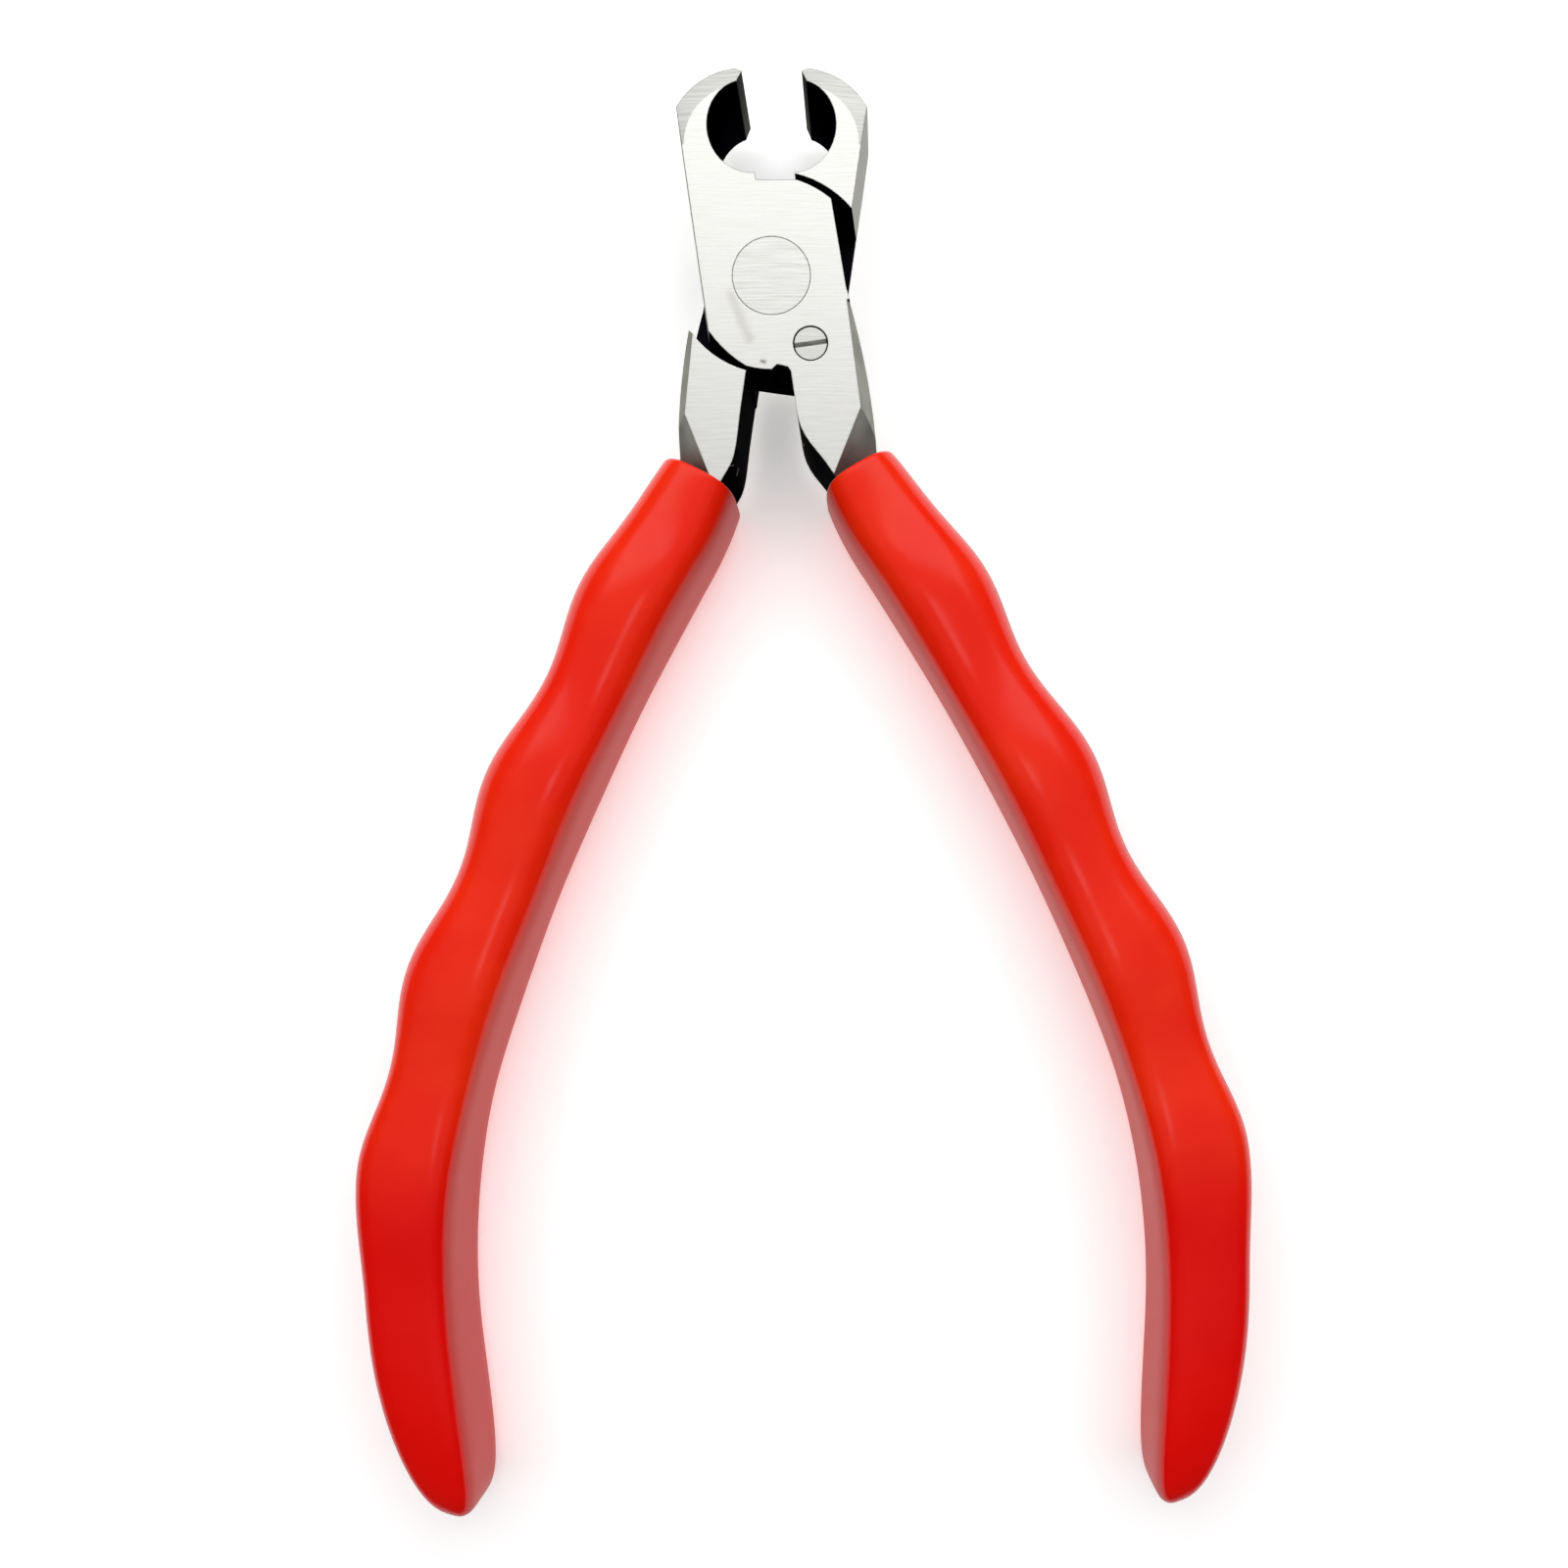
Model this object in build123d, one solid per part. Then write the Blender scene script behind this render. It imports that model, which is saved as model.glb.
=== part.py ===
from build123d import *
import math
import os

# End cutting nippers, lying flat and open, jaws towards +Y.
# The pivot axis is Z. The flat underside of the head is the plane z = 0.
# Each lever is drawn with the jaws shut and then swung out by half the opening.
# All sizes are in millimetres and all angles in degrees.

# Head and lap joint
head_thickness = 10.0
lap_clearance = 0.06
opening_angle = 16.4
shut_gap = 0.06

# Jaw, seen from above, as distances from the pivot
edge_reach = 18.15
crest_centre_back = 0.8
crest_centre_reach = 11.77
crest_radius = 6.73
crest_start_angle = 88.0
crest_end_angle = 143.0
jaw_half_width = 6.1
jaw_draft = 0.35
jaw_shoulder_length = 1.5
jaw_foot_reach = 3.2
tip_bevel_width = 1.6
tip_bevel_depth = 0.35
tip_bevel_start_reach = 12.4

# Hollow behind the cutting edges, an ellipse shared by the two jaws
hollow_centre_reach = 13.2
hollow_half_width = 3.75
hollow_half_length = 4.1
edge_land = 0.02
edge_facet_back = 0.55
edge_facet_drop = 0.8
edge_facet_overlap = 1.0

# Round plates that lap over each other
plate_radius = 8.15
plate_top_reach = 8.43
plate_shoulder_x = 3.4
plate_shoulder_drop = 0.5
plate_corner = 5.9
plate_corner_middle = (4.9, 7.0)
plate_side_lean = 0.2
rim_start_angle = -114.0
rim_end_angle = -98.0
notch_start_x = -0.6
notch_end_inset = 0.2
notch_end_rise = 0.1
jaw_recess_gap = 0.95
tang_recess_gap = 0.35

# Tangs between the head and the handles
tang_side = 6.3
tang_reach = 12.0
tang_top_drop = 0.3
tang_shoulder_reach = 2.0
waist_reach = 10.5
tang_lean = 0.3
tang_bevel_start_reach = 3.0
tang_bevel_start_width = 0.1
tang_bevel_start_depth = 0.3
tang_bevel_end_reach = 19.0
tang_bevel_width = 1.9
tang_bevel_inset = 1.1
tang_bevel_depth = 3.2
scoop_radius = 7.0
scoop_entry_angle = 50.0
scoop_start_reach = 11.6
scoop_length = 5.6
scoop_outset = 0.25
scoop_inset = 3.0
scoop_inside_grip = 0.8
crotch_bevel_length = 1.5
crotch_bevel_height = 4.2
crotch_bevel_x = 2.6
crotch_bevel_width = 7.0

# What differs between the two levers
front_splay = 9.85
front_heel = 0.15
front_tang_inside = 0.5
front_waist = 7.1
front_flank = (-5.3, -5.3)
front_notch = 0.45
back_splay = 5.88
back_heel = 0.75
back_tang_inside = 1.0
back_waist = 6.6
back_flank = (-6.1, -5.0)
back_notch = 0.1

# Grips: sleeves pulled over the handles
grip_start = 18.0
grip_end = 113.9
grip_half_width = 4.4
grip_mouth_half_width = 3.4
grip_mouth_length = 8.0
grip_mouth_tilt = 13.0
grip_tip_length = 16.5
grip_tip_wall = 6.9
grip_wall = 1.5
grip_edge_radius = 2.6
grip_edge_share = 0.45
grip_clearance = 0.05
grip_tip_flatness = 0.25
grip_tip_angles = (25, 45, 62, 76, 86)
groove_pitch = 18.4
groove_first_bump = 29.3
groove_height = 0.6
groove_last = 90.0
sections_per_groove = 4

# Handles: a bowed bar of the head's thickness, in each handle's own frame
bow_crest = 12.1
bow_crest_at = 75.0
bow_rise = 10.0
bow_rise_length = 57.0
bow_rise_power = 1.7
bow_fall = 12.0
bow_fall_length = 39.0
bow_fall_power = 2
core_half_width = 2.3
core_lead = 1.0
core_start = grip_start - core_lead
core_end = grip_end - grip_tip_wall
core_points = 13

# Rivet
rivet_head_radius = 3.4
rivet_shank_radius = 2.9
rivet_head_depth = 0.5
rivet_clearance = 0.03

# Slotted stop screw, whose nose runs in the back lever's pocket
screw_reach = 6.8
screw_angle = -68.1
screw_head_radius = 1.42
screw_head_height = 1.2
screw_body_radius = 0.95
screw_body_rise = 0.2
screw_nose_radius = 0.6
screw_nose_length = 1.1
screw_sink = 0.05
screw_ring_gap = 0.1
screw_clearance = 0.02
slot_width = 0.4
slot_depth = 0.5

# Spring and its pocket in the back lever's lap face
pocket_half_width = 0.7
pocket_depth = 1.4
spring_span = 44.0
spring_coil_radius = 0.42
spring_wire_radius = 0.13
spring_turns = 7
spring_points_per_turn = 10
spring_end_gap = 0.08

half_opening = opening_angle / 2
lap_height = head_thickness / 2
front_lap_face = lap_height + lap_clearance / 2
back_lap_face = lap_height - lap_clearance / 2
jaw_recess_radius = plate_radius + jaw_recess_gap
tang_recess_radius = plate_radius + tang_recess_gap
swept_by_nose = math.degrees(screw_nose_radius / screw_reach)
pocket_start_angle = screw_angle + opening_angle
pocket_end_angle = screw_angle - swept_by_nose - spring_span


def bow(along):
    """Outward offset of the handle's middle line, at a distance from the pivot."""
    if along < bow_crest_at:
        return bow_crest - bow_rise * ((bow_crest_at - along) / bow_rise_length) ** bow_rise_power
    return bow_crest - bow_fall * ((along - bow_crest_at) / bow_fall_length) ** bow_fall_power


def handle_point(along, outward):
    """Point in the handle's own frame: x outwards, y back towards the jaws."""
    return (outward, -along)


def turned(point, angle):
    """Point turned about the pivot, anticlockwise."""
    turn = math.radians(angle)
    x = point[0] * math.cos(turn) - point[1] * math.sin(turn)
    y = point[0] * math.sin(turn) + point[1] * math.cos(turn)
    return (x, y)


def polar(radius, angle):
    """Point at a radius and an angle about the pivot."""
    return turned((radius, 0), angle)


def crest_point(angle):
    """Point of the jaw's rounded crest."""
    x, y = polar(crest_radius, angle)
    return (x - crest_centre_back, y + crest_centre_reach)


def extruded(lines, low, high):
    """Solid between two heights over the area that the lines enclose."""
    return Pos(0, 0, low) * extrude(make_face(lines), high - low)


def polygon(points, low, high):
    """Solid between two heights over a polygon."""
    return extruded(Polyline(*points, close=True), low, high)


def drum(radius, low, high):
    """Round disc about the pivot between two heights."""
    return Pos(0, 0, (low + high) / 2) * Cylinder(radius, high - low)


def core_bar(clearance):
    """Bowed bar inside a grip, in the handle's frame, grown all round by a clearance."""
    half = core_half_width + clearance
    step = (core_end - core_half_width - core_start) / (core_points - 1)
    stations = [core_start + step * index for index in range(core_points)]
    outer = [handle_point(s, bow(s) + half) for s in stations]
    inner = [handle_point(s, bow(s) - half) for s in stations]
    tip = handle_point(core_end + clearance, bow(core_end))
    lines = Spline(*outer)
    lines += ThreePointArc(outer[-1], tip, inner[-1])
    lines += Spline(*reversed(inner))
    lines += Line(inner[0], outer[0])
    return extruded(lines, -clearance, head_thickness + clearance)


def blank_lines(splay, heel, tang_inside, waist, flank, notch):
    """Outline of a shut lever, with its jaw at -X and its tang at +X."""
    lines = jaw_lines(heel)
    lines += rim_lines(tang_inside, flank, notch)
    lines += tang_lines(splay, tang_inside, waist)
    return lines + plate_lines(heel)


def jaw_lines(heel):
    """Outline of the jaw: from the heel, up the edge, round the crest and down the flank."""
    gap = shut_gap / 2
    outer_x = -jaw_half_width - jaw_draft
    tip = (-gap, edge_reach)
    crest = crest_point(crest_start_angle)
    corner = crest_point(crest_end_angle)
    side_top = (outer_x, corner[1] - jaw_shoulder_length)
    heel_lines = [(-heel, plate_top_reach), (-heel, hollow_centre_reach), (-gap, hollow_centre_reach)]
    lines = Polyline(*heel_lines, tip, crest)
    lines += ThreePointArc(crest, crest_point((crest_start_angle + crest_end_angle) / 2), corner)
    return lines + Polyline(corner, side_top, (outer_x, -jaw_foot_reach))


def rim_lines(tang_inside, flank, notch):
    """Outline below the jaw: the plate's round rim and the notch beside the tang."""
    side_low = (-jaw_half_width - jaw_draft, -jaw_foot_reach)
    rim_start = polar(plate_radius, rim_start_angle)
    rim_end = polar(plate_radius, rim_end_angle)
    notch_start = (notch_start_x, notch - plate_radius)
    notch_end = (tang_inside - notch_end_inset, notch_end_rise - plate_radius)
    tang_top = (tang_inside, -plate_radius - tang_top_drop)
    lines = ThreePointArc(side_low, flank, rim_start)
    lines += ThreePointArc(rim_start, polar(plate_radius, (rim_start_angle + rim_end_angle) / 2), rim_end)
    return lines + Polyline(rim_end, notch_start, notch_end, tang_top, (tang_inside, -tang_reach))


def tang_lines(splay, tang_inside, waist):
    """Outline of the tang: down its inner side, across the bar and up its outer side."""
    inner_end = turned(handle_point(core_start, bow(core_start) - core_half_width), splay)
    outer_end = turned(handle_point(core_start, bow(core_start) + core_half_width), splay)
    lines = Spline((tang_inside, -tang_reach), inner_end, tangents=[(0, -1), turned((tang_lean, -1), splay)])
    lines += Line(inner_end, outer_end)
    return lines + ThreePointArc(outer_end, (waist, -waist_reach), (tang_side, -tang_shoulder_reach))


def plate_lines(heel):
    """Outline of the plate's side and top, back to the heel."""
    plate_side = (tang_side - plate_side_lean, plate_corner)
    shoulder = (plate_shoulder_x, plate_top_reach - plate_shoulder_drop)
    lines = Line((tang_side, -tang_shoulder_reach), plate_side)
    lines += ThreePointArc(plate_side, plate_corner_middle, shoulder)
    return lines + Line(shoulder, (-heel, plate_top_reach))


def hollow_cut():
    """Ellipse behind the edges, with the ground facet that leads to each edge."""
    space = Pos(0, hollow_centre_reach) * Ellipse(hollow_half_width, hollow_half_length)
    land = edge_reach - edge_land
    facet_end = edge_reach - edge_facet_drop
    low = facet_end - edge_facet_overlap
    back = edge_facet_back
    left = [(-shut_gap / 2, land), (-back, facet_end), (-back, low)]
    facet = Polyline(*left, (back, low), (back, land), close=True)
    return extrude(space + make_face(facet), head_thickness)


def lap_recess():
    """Space under a lever's own plate for the other lever's plate."""
    wide = 2 * plate_radius
    rear = drum(tang_recess_radius, -1, front_lap_face)
    front = drum(jaw_recess_radius, -1, front_lap_face)
    front &= Pos(0, wide, 0) * Box(2 * wide, 2 * wide, 2 * head_thickness)
    return rear + front


def both_faces(cutter):
    """A cutter for the top face together with its mirror for the bottom face."""
    return cutter + mirror(cutter, Plane.XY.offset(lap_height))


def jaw_side_cut():
    """Draft on the jaw's outer side, from its middle height up."""
    lean = math.degrees(math.atan2(jaw_draft, lap_height))
    wide = head_thickness
    slab = Pos(-wide / 2, 0, 0) * Box(wide, 4 * edge_reach, 3 * wide)
    return Pos(-jaw_half_width, 0, head_thickness) * Rot(0, lean, 0) * slab


def tip_bevel_cut():
    """Shallow bevel along the jaw's crest: a disc less a cone, over the jaw alone."""
    outside = crest_radius + tip_bevel_width
    inside = crest_radius - tip_bevel_width
    height = 2 * tip_bevel_depth
    band = Cylinder(outside, height) - Cone(outside, inside, height)
    place = Pos(-crest_centre_back, crest_centre_reach, head_thickness - tip_bevel_depth)
    wide = 4 * crest_radius
    jaw_only = Pos(0, tip_bevel_start_reach + wide / 2, head_thickness) * Box(wide, wide, wide)
    return (place * band) & jaw_only


def tang_bevel_cut(waist):
    """Long bevel on the tang's outer top edge, widening towards the handle."""
    near_x = tang_side - tang_bevel_start_width
    near = bevel_section(-tang_bevel_start_reach, near_x, tang_bevel_start_width, tang_bevel_start_depth)
    far = bevel_section(-tang_bevel_end_reach, waist - tang_bevel_inset, tang_bevel_width, tang_bevel_depth)
    return loft([near, far])


def bevel_section(y, x, width, depth):
    """Triangle across the tang: from the top face down to its outer side."""
    z = head_thickness
    points = [(x, y, z), (x + 3 * width, y, z), (x + 3 * width, y, z - 3 * depth)]
    return make_face(Polyline(*points, close=True))


def scoop_cut():
    """Hollow scoop in the tang's outer top edge, along a slanting line on the top face."""
    entry = math.radians(scoop_entry_angle)
    aside = scoop_radius * math.sin(entry)
    above = scoop_radius * math.cos(entry)
    heading = math.degrees(math.atan2(-scoop_length, -scoop_outset - scoop_inset))
    before = scoop_length / 2
    beyond = 3 * scoop_length
    axis = Pos((beyond - before) / 2, aside, 0) * Cylinder(scoop_radius, before + beyond, rotation=(0, 90, 0))
    place = Pos(tang_side + scoop_outset, -scoop_start_reach, head_thickness + above)
    return place * Rot(0, 0, heading) * axis


def shut_lever(splay, heel, tang_inside, waist, flank, notch):
    """Lever in the shut position, lap face down, without its holes."""
    blank = extruded(blank_lines(splay, heel, tang_inside, waist, flank, notch), 0, head_thickness)
    lever = blank - hollow_cut() - lap_recess() - both_faces(tip_bevel_cut() + jaw_side_cut())
    lever += Rot(0, 0, splay) * core_bar(0)
    lever -= both_faces(tang_bevel_cut(waist) & outside_grip(splay))
    return lever - both_faces(scoop_cut() & outside_grip(splay))


def outside_grip(splay):
    """Block round a shut lever's head and tang, down to just inside the grip's mouth."""
    wide = 5 * head_thickness
    low = grip_start + scoop_inside_grip
    return Rot(0, 0, splay) * Pos(bow(grip_start), wide / 2 - low, lap_height) * Box(wide, wide, wide)


def rivet_hole():
    """Hole through a lever with a countersink at the face where the rivet is spread."""
    shank = drum(rivet_shank_radius + rivet_clearance, -1, head_thickness + 1)
    top = spread_head(rivet_clearance)
    return shank + both_faces(top)


def spread_head(clearance):
    """Cone-shaped head of the rivet, flush with the top face."""
    low = rivet_shank_radius + clearance
    high = rivet_head_radius + clearance
    middle = head_thickness - rivet_head_depth / 2
    return Pos(0, 0, middle) * Cone(low, high, rivet_head_depth)


def pivot_rivet():
    """Rivet spread flush into both levers."""
    return drum(rivet_shank_radius, 0, head_thickness) + both_faces(spread_head(0))


def screw_place(height):
    """Place on the screw's axis, with the front lever shut."""
    x, y = polar(screw_reach, screw_angle)
    return Pos(x, y, height)


def screw_hole():
    """Stepped hole for the stop screw in the front lever."""
    body = Cylinder(screw_body_radius + screw_clearance, 2 * head_thickness)
    head = Cylinder(screw_head_radius + screw_ring_gap, 2 * screw_head_height)
    ring = screw_place(head_thickness) * head
    return ring + screw_place(head_thickness) * body


def stop_screw():
    """Slotted screw whose nose stands out of the lap face."""
    top = head_thickness - screw_sink
    body_low = front_lap_face + screw_body_rise
    nose_low = back_lap_face - screw_nose_length
    head_low = head_thickness - screw_head_height
    head = screw_place((top + head_low) / 2) * Cylinder(screw_head_radius, top - head_low)
    body = screw_place((top + body_low) / 2) * Cylinder(screw_body_radius, top - body_low)
    nose = screw_place((top + nose_low) / 2) * Cylinder(screw_nose_radius, top - nose_low)
    slot = screw_place(top) * Box(4 * screw_head_radius, slot_width, 2 * slot_depth)
    return head + body + nose - slot


def spring_pocket():
    """Curved blind pocket in the back lever's lap face, with the levers shut."""
    low = back_lap_face - pocket_depth
    ring = drum(screw_reach + pocket_half_width, low, lap_height)
    ring -= drum(screw_reach - pocket_half_width, low - 1, head_thickness)
    ring &= pocket_sector(low)
    for angle in (pocket_start_angle, pocket_end_angle):
        x, y = polar(screw_reach, angle)
        ring += Pos(x, y, (low + lap_height) / 2) * Cylinder(pocket_half_width, lap_height - low)
    return ring


def pocket_sector(low):
    """Wedge from the pivot between the pocket's two end angles."""
    far = 3 * screw_reach
    span = pocket_start_angle - pocket_end_angle
    angles = [pocket_end_angle + span * share for share in (0, 0.5, 1)]
    points = [(0, 0)] + [polar(far, angle) for angle in angles]
    return polygon(points, low - 1, head_thickness)


def opening_spring():
    """Coil spring bent along the pocket, from the pocket's end to the screw's nose."""
    nose_edge = math.degrees((screw_nose_radius + spring_end_gap) / screw_reach)
    coil_outside = spring_coil_radius + spring_wire_radius
    end_reach = math.sqrt(pocket_half_width ** 2 - coil_outside ** 2) - spring_wire_radius - spring_end_gap
    end_edge = math.degrees(end_reach / screw_reach)
    first = pocket_end_angle - end_edge
    last = pocket_start_angle - nose_edge
    middle_height = back_lap_face - pocket_depth / 2
    count = spring_points_per_turn * spring_turns
    points = []
    for index in range(count + 1):
        share = index / count
        wind = math.radians(360 * spring_turns * share)
        radius = screw_reach + spring_coil_radius * math.cos(wind)
        x, y = polar(radius, first + (last - first) * share)
        points.append((x, y, middle_height + spring_coil_radius * math.sin(wind)))
    path = Spline(*points)
    return sweep(Plane(path @ 0, z_dir=path % 0) * Circle(spring_wire_radius), path)


def grip_half_width_at(along):
    """Half width of a grip before its tip, narrower at the mouth."""
    if along < grip_start + grip_mouth_length:
        share = (grip_start + grip_mouth_length - along) / grip_mouth_length
        return grip_half_width - (grip_half_width - grip_mouth_half_width) * share ** 2
    return grip_half_width


def groove(along):
    """Extra width at a finger bump, or less between two bumps."""
    fade = min(1.0, max(0.0, (along - grip_start) / grip_mouth_length))
    if along > groove_last:
        fade = max(0.0, 1 - (along - groove_last) / groove_pitch)
    return fade * groove_height * math.cos(2 * math.pi * (along - groove_first_bump) / groove_pitch)


def grip_section(along, outer_half, inner_half, height):
    """Rounded cross-section of a grip, in the handle's frame."""
    width = outer_half + inner_half
    middle = bow(along) + (outer_half - inner_half) / 2
    radius = min(grip_edge_radius, grip_edge_share * width, grip_edge_share * height)
    place = Plane(origin=(middle, -along, lap_height), x_dir=(1, 0, 0), z_dir=(0, -1, 0))
    return place * RectangleRounded(width, height, radius)


def grip():
    """Moulded grip with finger bumps and a cavity for its handle, in the handle's frame."""
    height = head_thickness + 2 * grip_wall
    start = grip_start - grip_mouth_half_width * math.tan(math.radians(grip_mouth_tilt))
    tip_start = grip_end - grip_tip_length
    count = round(sections_per_groove * (tip_start - start) / groove_pitch)
    sections = []
    for index in range(count + 1):
        along = start + (tip_start - start) * index / count
        half = grip_half_width_at(along)
        sections.append(grip_section(along, half + groove(along), half, height))
    for angle in grip_tip_angles:
        along = tip_start + grip_tip_length * math.sin(math.radians(angle))
        taper = math.cos(math.radians(angle))
        half = grip_half_width * taper
        flat = height * (grip_tip_flatness + (1 - grip_tip_flatness) * math.sqrt(taper))
        sections.append(grip_section(along, half + groove(along) * taper, half, flat))
    return loft(sections) - core_bar(grip_clearance) - mouth_cut()


def mouth_cut():
    """Block that trims the grip's mouth square to the bowed handle."""
    wide = 2 * head_thickness
    place = Pos(bow(grip_start), -grip_start, lap_height) * Rot(0, 0, grip_mouth_tilt)
    return place * Pos(0, wide / 2, 0) * Box(wide, wide, wide)


def flipped(shape):
    """Piece turned over about Y, so that its top face comes to z = 0."""
    return Pos(0, 0, head_thickness) * Rot(0, 180, 0) * shape


def front_lever():
    """Front lever, shut, with its jaw at -X."""
    lever = shut_lever(front_splay, front_heel, front_tang_inside, front_waist, front_flank, front_notch)
    return lever - rivet_hole() - screw_hole()


def back_lever():
    """Back lever, shut, with the spring's pocket and the bevel under its crotch."""
    lever = shut_lever(back_splay, back_heel, back_tang_inside, back_waist, back_flank, back_notch)
    return flipped(lever) - rivet_hole() - spring_pocket() - crotch_bevel()


def crotch_bevel():
    """Wedge cut away under the back lever's plate, between the tangs."""
    lean = math.degrees(math.atan2(crotch_bevel_length, crotch_bevel_height))
    slab = Pos(0, -head_thickness / 2, 0) * Box(crotch_bevel_width, head_thickness, 3 * head_thickness)
    return Pos(crotch_bevel_x, -plate_radius, crotch_bevel_height) * Rot(lean, 0, 0) * slab


def front_pose(shape):
    """Piece of the shut front lever, turned to the open position."""
    return Rot(0, 0, half_opening) * shape


def back_pose(shape):
    """Piece of the shut back lever, turned to the open position."""
    return Rot(0, 0, -half_opening) * shape


pieces = {
    "front_lever": front_pose(front_lever()),
    "back_lever": back_pose(back_lever()),
    "pivot_rivet": front_pose(pivot_rivet()),
    "stop_screw": front_pose(stop_screw()),
    "opening_spring": back_pose(opening_spring()),
    "front_grip": front_pose(Rot(0, 0, front_splay) * grip()),
    "back_grip": back_pose(flipped(Rot(0, 0, back_splay) * grip())),
}

os.makedirs("parts", exist_ok=True)
for name, piece in pieces.items():
    export_step(piece, f"parts/{name}.step")
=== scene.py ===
"""Looks of a pair of open end cutting nippers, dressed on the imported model."""

import logging
import math
from dataclasses import dataclass
from enum import Enum

import bpy
from mathutils import Euler, Matrix, Vector


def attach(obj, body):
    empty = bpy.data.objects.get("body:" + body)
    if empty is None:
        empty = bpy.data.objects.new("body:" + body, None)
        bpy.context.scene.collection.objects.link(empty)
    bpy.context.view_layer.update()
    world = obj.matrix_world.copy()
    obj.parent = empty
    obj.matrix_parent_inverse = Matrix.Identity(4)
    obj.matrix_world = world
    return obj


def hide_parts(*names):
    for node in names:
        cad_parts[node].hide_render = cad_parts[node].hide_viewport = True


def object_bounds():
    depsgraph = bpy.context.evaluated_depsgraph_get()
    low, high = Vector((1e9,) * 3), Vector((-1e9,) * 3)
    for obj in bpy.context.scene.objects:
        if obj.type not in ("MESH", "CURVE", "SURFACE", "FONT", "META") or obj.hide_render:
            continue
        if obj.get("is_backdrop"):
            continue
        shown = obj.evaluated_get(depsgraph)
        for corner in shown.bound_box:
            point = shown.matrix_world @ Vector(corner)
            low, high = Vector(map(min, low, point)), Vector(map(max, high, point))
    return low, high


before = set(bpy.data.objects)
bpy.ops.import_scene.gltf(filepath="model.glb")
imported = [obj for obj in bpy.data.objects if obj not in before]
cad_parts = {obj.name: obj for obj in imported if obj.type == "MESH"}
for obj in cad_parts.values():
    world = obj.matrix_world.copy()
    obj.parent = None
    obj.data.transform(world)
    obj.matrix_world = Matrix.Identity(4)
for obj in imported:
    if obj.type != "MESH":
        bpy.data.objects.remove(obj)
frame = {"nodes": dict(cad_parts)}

MM = 0.001
LOG = logging.getLogger("nippers")

# Constants of the sRGB transfer curve
SRGB_KNEE = 0.04045
SRGB_SLOPE = 12.92
SRGB_OFFSET = 0.055
SRGB_POWER = 2.4

# Type names of the shader nodes used most
MATH = "ShaderNodeMath"
VECTOR_MATH = "ShaderNodeVectorMath"
NOISE = "ShaderNodeTexNoise"
STEP = "ShaderNodeMapRange"
BLEND = "ShaderNodeMix"
SPLIT = "ShaderNodeSeparateXYZ"
# A colour blend's two colours, among its node's inputs, and its result
FIRST, SECOND, BLENDED = 6, 7, 2

Socket = bpy.types.NodeSocket
Tree = bpy.types.NodeTree


class Side(Enum):
    """Side of the pivot on which a handle lies."""

    LEFT = -1
    RIGHT = 1


def linear(hex_colour: str) -> tuple[float, float, float, float]:
    """Turns an sRGB hex colour into a linear colour.

    Args:
        hex_colour: Six hex digits, with or without a leading #.

    Returns:
        Linear red, green and blue, and an alpha of 1.
    """
    digits = hex_colour.lstrip("#")
    channels = []
    for start in (0, 2, 4):
        value = int(digits[start:start + 2], 16) / 255
        curved = ((value + SRGB_OFFSET) / (1 + SRGB_OFFSET)) ** SRGB_POWER
        channels.append(value / SRGB_SLOPE if value <= SRGB_KNEE else curved)
    return (*channels, 1.0)


def add_node(tree: Tree, kind: str, inputs: dict, **settings) -> bpy.types.Node:
    """Adds a shader node with its settings and its links.

    Args:
        tree: Node tree that gets the node.
        kind: Type name of the node.
        inputs: Value or output socket for each input, by name or number.
        settings: Properties of the node itself.

    Returns:
        The new node.
    """
    made = tree.nodes.new(kind)
    for name, value in settings.items():
        setattr(made, name, value)
    for key, value in inputs.items():
        if isinstance(value, Socket):
            tree.links.new(value, made.inputs[key])
        else:
            made.inputs[key].default_value = value
    return made


def new_material(name: str) -> tuple[bpy.types.Material, Tree, bpy.types.Node]:
    """Makes an empty material with a Principled shader on its output.

    Args:
        name: Name of the material.

    Returns:
        The material, its node tree and its Principled shader.
    """
    material = bpy.data.materials.new(name)
    material.use_nodes = True
    tree = material.node_tree
    tree.nodes.clear()
    shader = add_node(tree, "ShaderNodeBsdfPrincipled", {})
    add_node(tree, "ShaderNodeOutputMaterial", {"Surface": shader.outputs[0]})
    return material, tree, shader


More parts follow.
